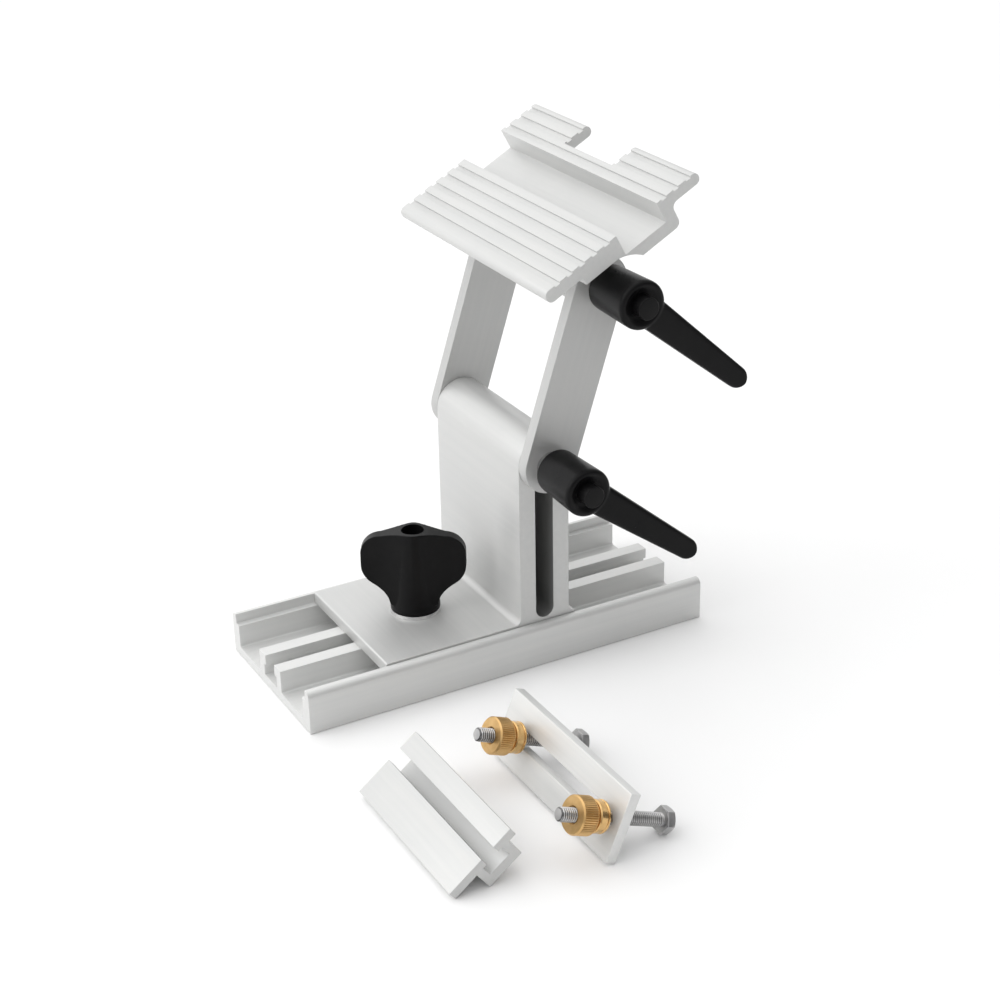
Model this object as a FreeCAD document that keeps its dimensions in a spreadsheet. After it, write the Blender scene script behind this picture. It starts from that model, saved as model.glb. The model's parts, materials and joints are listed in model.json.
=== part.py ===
"""Bench-grinder tool rest with its loose slide guide and tool clamp.

Frame: millimetres, +Z up, X along the base rail, -Y towards the clamping levers.
Origin: centre of the rail's underside, on the surface that everything stands on.
"""
import FreeCAD, Part
import math
import os

import Sketcher

Vector = FreeCAD.Vector
X_AXIS, Y_AXIS, Z_AXIS = Vector(1, 0, 0), Vector(0, 1, 0), Vector(0, 0, 1)

os.makedirs("parts", exist_ok=True)
doc = FreeCAD.newDocument("tool_rest")

# ---------------------------------------------------------------- driving dimensions
DIMENSIONS = {
    # base rail (extruded along X)
    "rail_length": 200.0,
    "rail_width": 84.5,
    "rail_height": 20.1,
    "rail_base": 4.5,
    "wall_thick": 4.0,
    "wall_round": 3.0,
    "ledge_height": 15.4,
    "ledge_width": 3.1,
    "rib_outside": 11.75,
    "slot_half": 4.75,
    "cavity_half": 6.75,
    "lip_underside": 10.3,
    "rail_fillet": 1.0,
    # carriage: plate and upright (extruded along Y)
    "carriage_width": 76.0,
    "plate_left": -61.0,
    "plate_right": 34.0,
    "plate_underside": 15.45,
    "plate_top": 20.95,
    "plate_edge": 0.5,
    "upright_left": 6.0,
    "upright_thick": 25.0,
    "upright_fillet": 3.0,
    "height_slot": 9.0,
    "height_slot_bottom": 26.1,
    # pivots and arms
    "pivot_height": 98.5,
    "pivot_spacing": 82.4,
    "arm_lean": 18.1,
    "arm_width": 25.0,
    "arm_thick": 6.0,
    "arm_gap": 38.1,
    "arm_edge": 0.5,
    "face_gap": 0.05,
    "pivot_bolt": 8.0,
    "pivot_hole": 8.2,
    "bolt_length": 100.0,
    "pivot_head_flats": 13.0,
    "pivot_head_height": 5.3,
    "pivot_washer": 16.0,
    "pivot_washer_thick": 1.6,
    # wing knob and its bolt
    "knob_place": -27.5,
    "knob_angle": -31.0,
    "knob_height": 38.6,
    "knob_base_radius": 11.4,
    "knob_top_radius": 7.4,
    "knob_bore_radius": 5.15,
    "wing_reach": 23.7,
    "wing_thick": 6.6,
    "wing_underside": 11.9,
    "wing_shoulder": 2.4,
    "wing_root": 6.3,
    "wing_root_drop": 7.5,
    "wing_root_dip": 0.4,
    "knob_foot_band": 3.5,
    "wing_corner": 7.5,
    "knob_washer": 23.0,
    "knob_washer_thick": 1.6,
    "knob_insert_radius": 6.0,
    "knob_insert_length": 15.4,
    "rail_bolt_length": 40.0,
    "bolt_hole": 8.4,
    "thread_bore": 8.1,
    # clamping levers
    "lever_base": 49.05,
    "lever_face": 76.3,
    "hub_base_radius": 10.0,
    "hub_face_radius": 10.8,
    "hub_edge": 1.8,
    "hub_recess_radius": 7.7,
    "hub_recess_depth": 2.2,
    "handle_root": 5.0,
    "handle_front_start": 4.0,
    "handle_back_start": 12.0,
    "handle_cut_depth": 60.0,
    "handle_cut_front": 90.0,
    "hub_overcut": 8.0,
    "handle_reach": 60.7,
    "handle_tip_radius": 4.8,
    "handle_root_half": 6.9,
    "handle_root_back": 67.0,
    "handle_root_front": 76.1,
    "handle_tip_back": 74.0,
    "handle_tip_front": 80.6,
    "lower_lever_angle": 37.8,
    "upper_lever_angle": 41.2,
    "insert_collar_radius": 7.0,
    "insert_start": 44.2,
    "insert_barrel_radius": 6.0,
    "insert_end": 60.0,
    "lever_bore_radius": 6.06,
    "lever_shelf": 71.25,
    "button_radius": 4.8,
    "button_guide_radius": 4.88,
    "button_flange_radius": 5.98,
    "button_flange_back": 69.6,
    "button_flange_front": 71.2,
    "button_face": 80.4,
    "button_edge": 0.5,
    "spring_radius": 4.5,
    "spring_wire_radius": 0.45,
    # tool table, sizes from the upper pivot: u across the table, w square to its face
    "table_tilt": 28.5,
    "table_length": 129.86,
    "table_near": -31.0,
    "table_far": 51.2,
    "table_top": 27.5,
    "table_underside": 21.7,
    "far_underside": 22.4,
    "block_near": -13.3,
    "block_fillet": 1.0,
    "block_underside": 18.1,
    "channel_near": 7.6,
    "channel_far": 29.5,
    "channel_floor": 17.5,
    "channel_underside": 11.9,
    "channel_outside": 35.0,
    "clearance_radius": 18.5,
    "groove_pitch": 6.6,
    "groove_width": 2.7,
    "groove_depth": 0.9,
    "first_near_groove": -25.35,
    "first_far_groove": 31.9,
    "table_edge_round": 2.5,
    "channel_corner_round": 3.0,
    "notch_start": 37.2,
    "notch_half": 19.6,
    "lug_toe": 15.0,
    "lug_waist": 9.0,
    "lug_heel": 5.0,
    "lug_overlap": 1.0,
    "lug_rise": 0.8,
    "lug_radius": 12.5,
    # slide guide, lying on its wide flange's edge and its tongue's corner
    "guide_left": -100.0,
    "guide_back": -95.6,
    "guide_length": 78.6,
    "guide_width": 33.2,
    "guide_flange": 4.1,
    "tongue_left": 11.9,
    "tongue_width": 17.5,
    "tongue_depth": 9.0,
    "guide_slot_left": 17.5,
    "guide_slot_width": 6.4,
    "guide_cavity_left": 15.55,
    "guide_cavity_width": 10.3,
    "guide_lip": 3.8,
    "guide_cavity_floor": 8.8,
    # tool clamp, leaning on its bolt heads
    "clamp_left": -36.6,
    "clamp_back": -95.9,
    "clamp_lean": 22.3,
    "clamp_length": 90.0,
    "clamp_width": 30.0,
    "clamp_thick": 4.7,
    "clamp_slot": 7.0,
    "clamp_slot_margin": 5.0,
    "clamp_slot_height": 15.0,
    "clamp_bolt_height": 15.5,
    "back_bolt_place": 17.0,
    "front_bolt_place": 81.5,
    "clamp_thread_radius": 2.95,
    "clamp_bolt_length": 50.0,
    "clamp_head_flats": 10.0,
    "clamp_head_height": 4.0,
    "clamp_head_place": 21.5,
    "nut_bore_radius": 3.0,
    "nut_front": 21.7,
    "nut_back": 7.9,
    "nut_head_radius": 7.8,
    "nut_head_length": 7.5,
    "nut_neck_radius": 6.1,
    "nut_neck_length": 1.6,
    "nut_collar_radius": 6.7,
}

sheet = doc.addObject("Spreadsheet::Sheet", "Sizes")
for row, (alias, number) in enumerate(DIMENSIONS.items(), start=1):
    sheet.set(f"A{row}", alias)
    sheet.set(f"B{row}", str(number))
    sheet.setAlias(f"B{row}", alias)
doc.recompute()


class Size:
    """A size as a number together with the sheet expression that gives it."""

    def __init__(self, number, text):
        self.number = number
        self.text = text

    def __add__(self, other):
        other = as_size(other)
        return Size(self.number + other.number, f"({self.text} + {other.text})")

    def __sub__(self, other):
        other = as_size(other)
        return Size(self.number - other.number, f"({self.text} - {other.text})")

    def __mul__(self, factor):
        return Size(self.number * factor, f"({self.text} * {factor})")

    def __truediv__(self, divisor):
        return Size(self.number / divisor, f"({self.text} / {divisor})")

    def __neg__(self):
        return Size(-self.number, f"(-1 * {self.text})")


def as_size(value):
    """A plain number as a Size, and a Size as itself."""
    return value if isinstance(value, Size) else Size(float(value), f"{value}")


def dim(alias):
    """The sheet cell of this name as a Size."""
    return Size(DIMENSIONS[alias], f"Sizes.{alias}")


# ---------------------------------------------------------------- building helpers
def new_body(label, placement=None):
    """An empty body; its features are made in its own frame, then placed."""
    body = doc.addObject("PartDesign::Body", label)
    body.Label = label
    if placement is not None:
        body.Placement = placement
    return body


def new_sketch(body, plane, name, offset=None):
    """A sketch on one of the body's own origin planes, moved along its normal if asked."""
    sketch = body.newObject("Sketcher::SketchObject", name)
    for feature in body.Origin.OriginFeatures:
        if feature.Role == plane:
            sketch.AttachmentSupport = (feature, "")
    sketch.MapMode = "FlatFace"
    if offset is not None:
        sketch.setExpression("AttachmentOffset.Base.z", offset.text)
        sketch.AttachmentOffset.Base = Vector(0, 0, offset.number)
    return sketch


def bind(sketch, index, size):
    """Ties one constraint of a sketch to the sheet."""
    sketch.setExpression(f"Constraints[{index}]", size.text)


def fix_point(sketch, geometry, point, x, y):
    """Holds one point of a sketch at (x, y) from the sketch's origin."""
    for kind, size in (("DistanceX", x), ("DistanceY", y)):
        index = sketch.addConstraint(
            Sketcher.Constraint(kind, -1, 1, geometry, point, size.number)
        )
        bind(sketch, index, size)


def hold_arc(sketch, index, before, step):
    """Ties an arc's radius to the sheet; a half circle's centre is held level instead."""
    radius = step[2] if step[2].number > 0 else -step[2]
    across = math.hypot(step[0].number - before[0].number, step[1].number - before[1].number)
    if across < 2 * radius.number - 1e-6:
        held = sketch.addConstraint(Sketcher.Constraint("Radius", index, radius.number))
        bind(sketch, held, radius)
        return
    level = abs(step[1].number - before[1].number) < 1e-6
    kind, size = ("DistanceY", step[1]) if level else ("DistanceX", step[0])
    held = sketch.addConstraint(Sketcher.Constraint(kind, -1, 1, index, 3, size.number))
    bind(sketch, held, size)


def draw_outline(sketch, steps):
    """A closed outline. A step is (x, y), or (x, y, radius) for an arc that ends there.

    A positive radius turns left on the way from the step before, a negative one right.
    """
    steps = [tuple(as_size(value) for value in step) for step in steps]
    count = len(steps)
    for index, step in enumerate(steps):
        before = steps[index - 1]
        start = Vector(before[0].number, before[1].number, 0)
        end = Vector(step[0].number, step[1].number, 0)
        if len(step) == 2:
            sketch.addGeometry(Part.LineSegment(start, end))
            continue
        radius = abs(step[2].number)
        side = 1 if step[2].number > 0 else -1
        chord = end - start
        middle = (start + end) / 2
        rise = math.sqrt(max(radius**2 - (chord.Length / 2) ** 2, 0))
        left = Vector(-chord.y, chord.x, 0).normalize()
        centre = middle + left * (side * rise)
        first, last = (start, end) if side > 0 else (end, start)
        angles = [math.atan2(p.y - centre.y, p.x - centre.x) for p in (first, last)]
        circle = Part.Circle(centre, Z_AXIS, radius)
        sketch.addGeometry(Part.ArcOfCircle(circle, angles[0], angles[1]))
    for index, step in enumerate(steps):
        right_turn = len(step) == 3 and step[2].number < 0
        after = (index + 1) % count
        next_right = len(steps[after]) == 3 and steps[after][2].number < 0
        end_point = 1 if right_turn else 2
        fix_point(sketch, index, end_point, step[0], step[1])
        sketch.addConstraint(
            Sketcher.Constraint("Coincident", index, end_point, after, 2 if next_right else 1)
        )
        if len(step) == 3:
            hold_arc(sketch, index, steps[index - 1], step)


def draw_circle(sketch, x, y, radius):
    """A circle of a given radius with its centre held at (x, y)."""
    x, y, radius = as_size(x), as_size(y), as_size(radius)
    circle = Part.Circle(Vector(x.number, y.number, 0), Z_AXIS, radius.number)
    index = sketch.addGeometry(circle)
    fix_point(sketch, index, 3, x, y)
    bind(sketch, sketch.addConstraint(Sketcher.Constraint("Radius", index, radius.number)), radius)


def pad(body, sketch, length, midplane=False, reverse=False):
    """Adds the sketch's outline to the body over a length."""
    feature = body.newObject("PartDesign::Pad", f"{sketch.Name}_pad")
    feature.Profile = sketch
    feature.Length = length.number
    feature.setExpression("Length", length.text)
    feature.Midplane = midplane
    feature.Reversed = reverse
    doc.recompute()
    return feature


def pocket(body, sketch, length=None, midplane=False, reverse=False):
    """Cuts the sketch's outline from the body, and stops if nothing was cut."""
    before = body.Shape.Volume
    feature = body.newObject("PartDesign::Pocket", f"{sketch.Name}_cut")
    feature.Profile = sketch
    feature.Midplane = midplane
    feature.Reversed = reverse
    if length is None:
        feature.Type = "ThroughAll"
    else:
        feature.Length = length.number
        feature.setExpression("Length", length.text)
    doc.recompute()
    if body.Shape.Volume > before - 0.01:
        raise ValueError(f"{feature.Name} cut nothing")
    return feature


def revolve(body, sketch, axis="V_Axis", cut=False):
    """A full turn of the sketch about its own vertical or horizontal axis."""
    kind = "PartDesign::Groove" if cut else "PartDesign::Revolution"
    feature = body.newObject(kind, f"{sketch.Name}_turn")
    feature.Profile = sketch
    feature.ReferenceAxis = (sketch, [axis])
    feature.Angle = 360
    doc.recompute()
    return feature


def edges_along(shape, direction, places):
    """Names of the straight edges along a direction that pass through the given places."""
    names = []
    for number, edge in enumerate(shape.Edges, start=1):
        if len(edge.Vertexes) != 2 or not isinstance(edge.Curve, (Part.Line, Part.LineSegment)):
            continue
        start, end = (vertex.Point for vertex in edge.Vertexes)
        if (end - start).cross(direction).Length > 1e-6:
            continue
        for place in places:
            gap = start - place
            if (gap - direction * gap.dot(direction)).Length < 0.05:
                names.append(f"Edge{number}")
                break
    return names


def round_edges(body, name, direction, places, radius, kind="Fillet"):
    """Fillets or chamfers the body's straight edges at the given places."""
    base = body.Tip
    local = base.Shape
    names = edges_along(local, direction, [Vector(*place) for place in places])
    if not names:
        raise ValueError(f"{name} found no edge")
    feature = body.newObject(f"PartDesign::{kind}", name)
    feature.Base = (base, names)
    size_name = "Radius" if kind == "Fillet" else "Size"
    setattr(feature, size_name, radius.number)
    feature.setExpression(size_name, radius.text)
    doc.recompute()
    return feature


def cylinder(name, radius, height, place=Vector(), direction=Z_AXIS):
    """A round bar from a place along a direction."""
    bar = doc.addObject("Part::Cylinder", name)
    bar.setExpression("Radius", as_size(radius).text)
    bar.setExpression("Height", as_size(height).text)
    bar.Placement = FreeCAD.Placement(place, FreeCAD.Rotation(Z_AXIS, direction))
    return bar


def hexagon(name, flats, height, place, direction, turn=0.0):
    """A hexagon bar of a width across flats, from a place along a direction."""
    bar = doc.addObject("Part::Prism", name)
    bar.Polygon = 6
    bar.setExpression("Circumradius", f"{flats.text} / {math.sqrt(3)}")
    bar.setExpression("Height", height.text)
    spin = FreeCAD.Rotation(Z_AXIS, turn)
    bar.Placement = FreeCAD.Placement(place, FreeCAD.Rotation(Z_AXIS, direction) * spin)
    return bar


def join(label, shapes):
    """One solid from several that meet."""
    whole = doc.addObject("Part::MultiFuse", label)
    whole.Shapes = shapes
    whole.Refine = True
    whole.Label = label
    return whole


def drill(label, solid, tool):
    """The solid with the tool's space taken out."""
    whole = doc.addObject("Part::Cut", label)
    whole.Base = solid
    whole.Tool = tool
    whole.Label = label
    return whole


def place_last(subpart, placement):
    """Puts a finished sub-part, made in its own frame, where it belongs."""
    doc.recompute()
    subpart.Placement = placement.multiply(subpart.Placement)
    return subpart


def circle_reach(radius, level):
    """How far out a circle about the origin is at a level above it."""
    number = math.sqrt(radius.number**2 - level.number**2)
    return Size(number, f"sqrt({radius.text} ^ 2 - {level.text} ^ 2)")


def mirrored(points):
    """The points, then the same ones on the other side of x = 0 in reverse order."""
    return points + [(-x, y) for x, y in reversed(points)]


# ---------------------------------------------------------------- places shared by parts
upright_middle = dim("upright_left") + dim("upright_thick") / 2
lower_pivot = Vector(upright_middle.number, 0, DIMENSIONS["pivot_height"])
lean = math.radians(DIMENSIONS["arm_lean"])
arm_vector = Vector(math.sin(lean), 0, math.cos(lean)) * DIMENSIONS["pivot_spacing"]
upper_pivot = lower_pivot + arm_vector
arm_outside = dim("arm_gap") + dim("arm_thick")


# ---------------------------------------------------------------- base rail
def make_base_rail():
    """Extruded base: two walls with ledges, and two ribs that form the T-slot."""
    body = new_body("base_rail")
    half, inner = dim("rail_width") / 2, dim("rail_width") / 2 - dim("wall_thick")
    ledge = inner - dim("ledge_width")
    base, ledge_top, top = dim("rail_base"), dim("ledge_height"), dim("rail_height")
    lip = dim("lip_underside")
    right_side = [
        (half, as_size(0)),
        (half, top),
        (inner, top),
        (inner, ledge_top),
        (ledge, ledge_top),
        (ledge, base),
        (dim("rib_outside"), base),
        (dim("rib_outside"), ledge_top),
        (dim("slot_half"), ledge_top),
        (dim("slot_half"), lip),
        (dim("cavity_half"), lip),
        (dim("cavity_half"), base),
    ]
    section = new_sketch(body, "YZ_Plane", "rail_section")
    draw_outline(section, mirrored(right_side))
    pad(body, section, dim("rail_length"), midplane=True)
    places = [(0, side * half.number, top.number) for side in (1, -1)]
    round_edges(body, "rail_wall_round", X_AXIS, places, dim("wall_round"))
    corners = [
        (0, side * y.number, base.number)
        for side in (1, -1)
        for y in (ledge, dim("rib_outside"))
    ]
    round_edges(body, "rail_base_fillet", X_AXIS, corners, dim("rail_fillet"))
    return body


# ---------------------------------------------------------------- carriage
def make_carriage():
    """Extruded L: a plate between the rail's walls and a slotted upright with a round top."""
    body = new_body("carriage")
    left, right = dim("plate_left"), dim("plate_right")
    low, top = dim("plate_underside"), dim("plate_top")
    near, far = dim("upright_left"), dim("upright_left") + dim("upright_thick")
    fillet, pivot = dim("upright_fillet"), dim("pivot_height")
    profile = new_sketch(body, "XZ_Plane", "carriage_profile")
    draw_outline(
        profile,
        [
            (left, low),
            (right, low),
            (right, top),
            (far, top + fillet, -fillet),
            (far, pivot),
            (near, pivot, dim("upright_thick") / 2),
            (near, top + fillet),
            (near - fillet, top, -fillet),
            (left, top),
        ],
    )
    pad(body, profile, dim("carriage_width"), midplane=True)
    edge = [(left.number, 0, top.number)]
    round_edges(body, "carriage_edge", Y_AXIS, edge, dim("plate_edge"), kind="Chamfer")
    slot_half, bottom = dim("height_slot") / 2, dim("height_slot_bottom")
    slot = new_sketch(body, "XZ_Plane", "height_slot")
    draw_outline(
        slot,
        [
            (upright_middle + slot_half, bottom, slot_half),
            (upright_middle + slot_half, pivot),
            (upright_middle - slot_half, pivot, slot_half),
            (upright_middle - slot_half, bottom),
        ],
    )
    pocket(body, slot, midplane=True)
    hole = new_sketch(body, "XY_Plane", "rail_bolt_hole")
    draw_circle(hole, dim("knob_place"), 0, dim("bolt_hole") / 2)
    pocket(body, hole, midplane=True)
    return body


# ---------------------------------------------------------------- arms
def make_arm(label, side):
    """Flat bar with full-round ends, from the lower pivot to the upper one."""
    turn = FreeCAD.Rotation(Y_AXIS, DIMENSIONS["arm_lean"])
    body = new_body(label, FreeCAD.Placement(lower_pivot, turn))
    half, span = dim("arm_width") / 2, dim("pivot_spacing")
    start = arm_outside if side < 0 else -dim("arm_gap")
    profile = new_sketch(body, "XZ_Plane", f"{label}_profile", offset=start)
    draw_outline(
        profile,
        [(half, as_size(0), half), (half, span), (-half, span, half), (-half, as_size(0))],
    )
    pad(body, profile, dim("arm_thick"), reverse=True)
    holes = new_sketch(body, "XZ_Plane", f"{label}_holes")
    for height in (as_size(0), span):
        draw_circle(holes, 0, height, dim("pivot_hole") / 2)
    pocket(body, holes, midplane=True)
    return body


# ---------------------------------------------------------------- pivot hardware
def make_pivot_bolt(label, pivot):
    """Long hexagon bolt from behind the back arm to the clamping lever's hub."""
    seat = arm_outside + dim("face_gap") + dim("pivot_washer_thick")
    place = Vector(pivot.x, seat.number, pivot.z)
    shank = cylinder(f"{label}_shank", dim("pivot_bolt") / 2, dim("bolt_length"), place, -Y_AXIS)
    head = hexagon(
        f"{label}_head", dim("pivot_head_flats"), dim("pivot_head_height"), place, Y_AXIS
    )
    return join(label, [shank, head])


def make_washer(label, diameter, hole, thickness, place, direction):
    """Flat ring."""
    ring = cylinder(f"{label}_disc", diameter / 2, thickness, place, direction)
    opening = cylinder(f"{label}_hole", hole / 2, thickness, place, direction)
    return drill(label, ring, opening)


# ---------------------------------------------------------------- knob and rail bolt
knob_seat = dim("plate_top") + dim("knob_washer_thick") + dim("face_gap")


def make_rail_bolt():
    """Hexagon bolt whose head is held in the rail's T-slot, just clear of the lips."""
    place = Vector(DIMENSIONS["knob_place"], 0, (dim("lip_underside") - dim("face_gap")).number)
    shank = cylinder("rail_bolt_shank", dim("pivot_bolt") / 2, dim("rail_bolt_length"), place)
    head = hexagon(
        "rail_bolt_head",
        dim("pivot_head_flats"),
        dim("pivot_head_height"),
        place,
        -Z_AXIS,
    )
    return join("rail_t_bolt", [shank, head])


WING_SWEEP = 2.4  # radius under a wing's root, in wing corners


def make_wing_knob():
    """Two-wing plastic knob: a tapered hub with a bore, and one flat wing each side."""
    seat = Vector(DIMENSIONS["knob_place"], 0, knob_seat.number)
    turn = FreeCAD.Rotation(Z_AXIS, DIMENSIONS["knob_angle"])
    body = new_body("wing_knob", FreeCAD.Placement(seat, turn))
    base, top = dim("knob_base_radius"), dim("knob_top_radius")
    bore, tall = dim("knob_bore_radius"), dim("knob_height")
    insert, insert_top = dim("knob_insert_radius"), dim("knob_insert_length")
    hub = new_sketch(body, "XZ_Plane", "knob_hub")
    draw_outline(
        hub,
        [
            (insert, as_size(0)),
            (base, as_size(0)),
            (base, dim("knob_foot_band")),
            (top, tall),
            (bore, tall),
            (bore, insert_top),
            (insert, insert_top),
        ],
    )
    revolve(body, hub)
    reach, corner = dim("wing_reach"), dim("wing_corner")
    under, shoulder = dim("wing_underside"), dim("wing_shoulder")
    for side in (1, -1):
        inner = dim("wing_root") * side
        out, bend = reach * side, (reach - corner) * side
        turn_radius = corner * side
        steps = [
            (inner, under - dim("wing_root_drop")),
            (bend, under, -turn_radius * WING_SWEEP),
            (out, under + corner, turn_radius),
            (out, tall - shoulder - corner),
            (bend, tall - shoulder, turn_radius),
            (inner, tall - dim("wing_root_dip")),
        ]
        wing = new_sketch(body, "XZ_Plane", f"knob_wing_{'right' if side > 0 else 'left'}")
        draw_outline(wing, steps)
        pad(body, wing, dim("wing_thick"), midplane=True)
    return body


def make_knob_insert():
    """Threaded bush at the knob's foot, with its thread drawn as a plain bore."""
    place = Vector(DIMENSIONS["knob_place"], 0, knob_seat.number)
    bush = cylinder("knob_insert_bush", dim("knob_insert_radius"), dim("knob_insert_length"), place)
    bore = cylinder("knob_insert_bore", dim("thread_bore") / 2, dim("knob_insert_length"), place)
    return drill("knob_insert", bush, bore)


# ---------------------------------------------------------------- clamping levers
def make_lever_insert(label, pivot):
    """Steel hub of a clamping lever: a collar against the arm and a barrel in the handle."""
    def at(depth):
        return Vector(pivot.x, -depth.number, pivot.z)

    start, seat, end = dim("insert_start"), dim("lever_base"), dim("insert_end")
    collar = cylinder(
        f"{label}_collar", dim("insert_collar_radius"), seat - start - dim("face_gap"), at(start), -Y_AXIS
    )
    barrel = cylinder(
        f"{label}_barrel", dim("insert_barrel_radius"), end - start, at(start), -Y_AXIS
    )
    bore = cylinder(f"{label}_bore", dim("thread_bore") / 2, end - start, at(start), -Y_AXIS)
    return drill(label, join(f"{label}_solid", [collar, barrel]), bore)


def make_lever_handle(label, pivot, angle):
    """Plastic hub with a tapered handle that leans outwards towards its tip."""
    turn = FreeCAD.Rotation(Y_AXIS, angle)
    body = new_body(label, FreeCAD.Placement(pivot, turn))
    base, face = dim("lever_base"), dim("lever_face")
    reach, tip, root = dim("handle_reach"), dim("handle_tip_radius"), dim("handle_root_half")
    start, deep = dim("handle_root"), -dim("handle_cut_depth")
    back_start, front_start = dim("handle_back_start"), dim("handle_front_start")
    outline = new_sketch(body, "XZ_Plane", f"{label}_outline", offset=dim("handle_root_back"))
    draw_outline(
        outline,
        [(start, -root), (reach, -tip), (reach, tip, tip), (start, root)],
    )
    pad(body, outline, dim("handle_tip_front") - dim("handle_root_back"))
    beyond = reach + tip + 2
    back = new_sketch(body, "XY_Plane", f"{label}_back")
    draw_outline(
        back,
        [
            (back_start, -dim("handle_root_back")),
            (beyond, -dim("handle_tip_back")),
            (beyond, deep),
            (back_start, deep),
        ],
    )
    pocket(body, back, midplane=True)
    front = new_sketch(body, "XY_Plane", f"{label}_front")
    draw_outline(
        front,
        [
            (front_start, -dim("handle_root_front")),
            (front_start, -dim("handle_cut_front")),
            (beyond, -dim("handle_cut_front")),
            (beyond, -dim("handle_tip_front")),
        ],
    )
    pocket(body, front, midplane=True)
    hub = new_sketch(body, "XY_Plane", f"{label}_hub")
    edge = dim("hub_edge")
    draw_outline(
        hub,
        [
            (as_size(0), -base),
            (as_size(0), -face),
            (dim("hub_face_radius") - edge, -face),
            (dim("hub_face_radius"), edge - face, edge),
            (dim("hub_base_radius"), -base),
        ],
    )
    revolve(body, hub)
    bores = new_sketch(body, "XY_Plane", f"{label}_bores")
    draw_outline(
        bores,
        [
            (as_size(0), -(base - 1)),
            (as_size(0), -(face + dim("hub_overcut"))),
            (dim("hub_recess_radius"), -(face + dim("hub_overcut"))),
            (dim("hub_recess_radius"), dim("hub_recess_depth") - face),
            (dim("button_guide_radius"), dim("hub_recess_depth") - face),
            (dim("button_guide_radius"), -dim("lever_shelf")),
            (dim("lever_bore_radius"), -dim("lever_shelf")),
            (dim("lever_bore_radius"), -(base - 1)),
        ],
    )
    revolve(body, bores, cut=True)
    return body


def make_lever_button(label, pivot):
    """Push button: a flange behind the handle's shelf and a stem that stands proud."""
    body = new_body(label, FreeCAD.Placement(pivot, FreeCAD.Rotation()))
    back, shelf, face = (
        dim("button_flange_back"),
        dim("button_flange_front"),
        dim("button_face"),
    )
    edge, stem = dim("button_edge"), dim("button_radius")
    section = new_sketch(body, "XY_Plane", f"{label}_section")
    draw_outline(
        section,
        [
            (as_size(0), -back),
            (as_size(0), -face),
            (stem - edge, -face),
            (stem, edge - face),
            (stem, -shelf),
            (dim("button_flange_radius"), -shelf),
            (dim("button_flange_radius"), -back),
        ],
    )
    revolve(body, section)
    return body


def make_lever_spring(label, pivot):
    """Sleeve of a coil spring's size, between the steel hub and the button's flange."""
    start = dim("insert_end") + dim("face_gap")
    length = dim("button_flange_back") - dim("face_gap") - start
    place = Vector(pivot.x, -start.number, pivot.z)
    outside = dim("spring_radius") + dim("spring_wire_radius")
    inside = dim("spring_radius") - dim("spring_wire_radius")
    sleeve = cylinder(f"{label}_outside", outside, length, place, -Y_AXIS)
    bore = cylinder(f"{label}_inside", inside, length, place, -Y_AXIS)
    return drill(label, sleeve, bore)


# ---------------------------------------------------------------- tool table
def groove_steps(first, count):
    """Points along the table's face, from high u to low u, round its shallow grooves."""
    top, low = dim("table_top"), dim("table_top") - dim("groove_depth")
    steps = []
    for number in reversed(range(count)):
        left = first + dim("groove_pitch") * number
        right = left + dim("groove_width")
        steps += [(right, top), (right, low), (left, low), (left, top)]
    return steps


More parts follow.
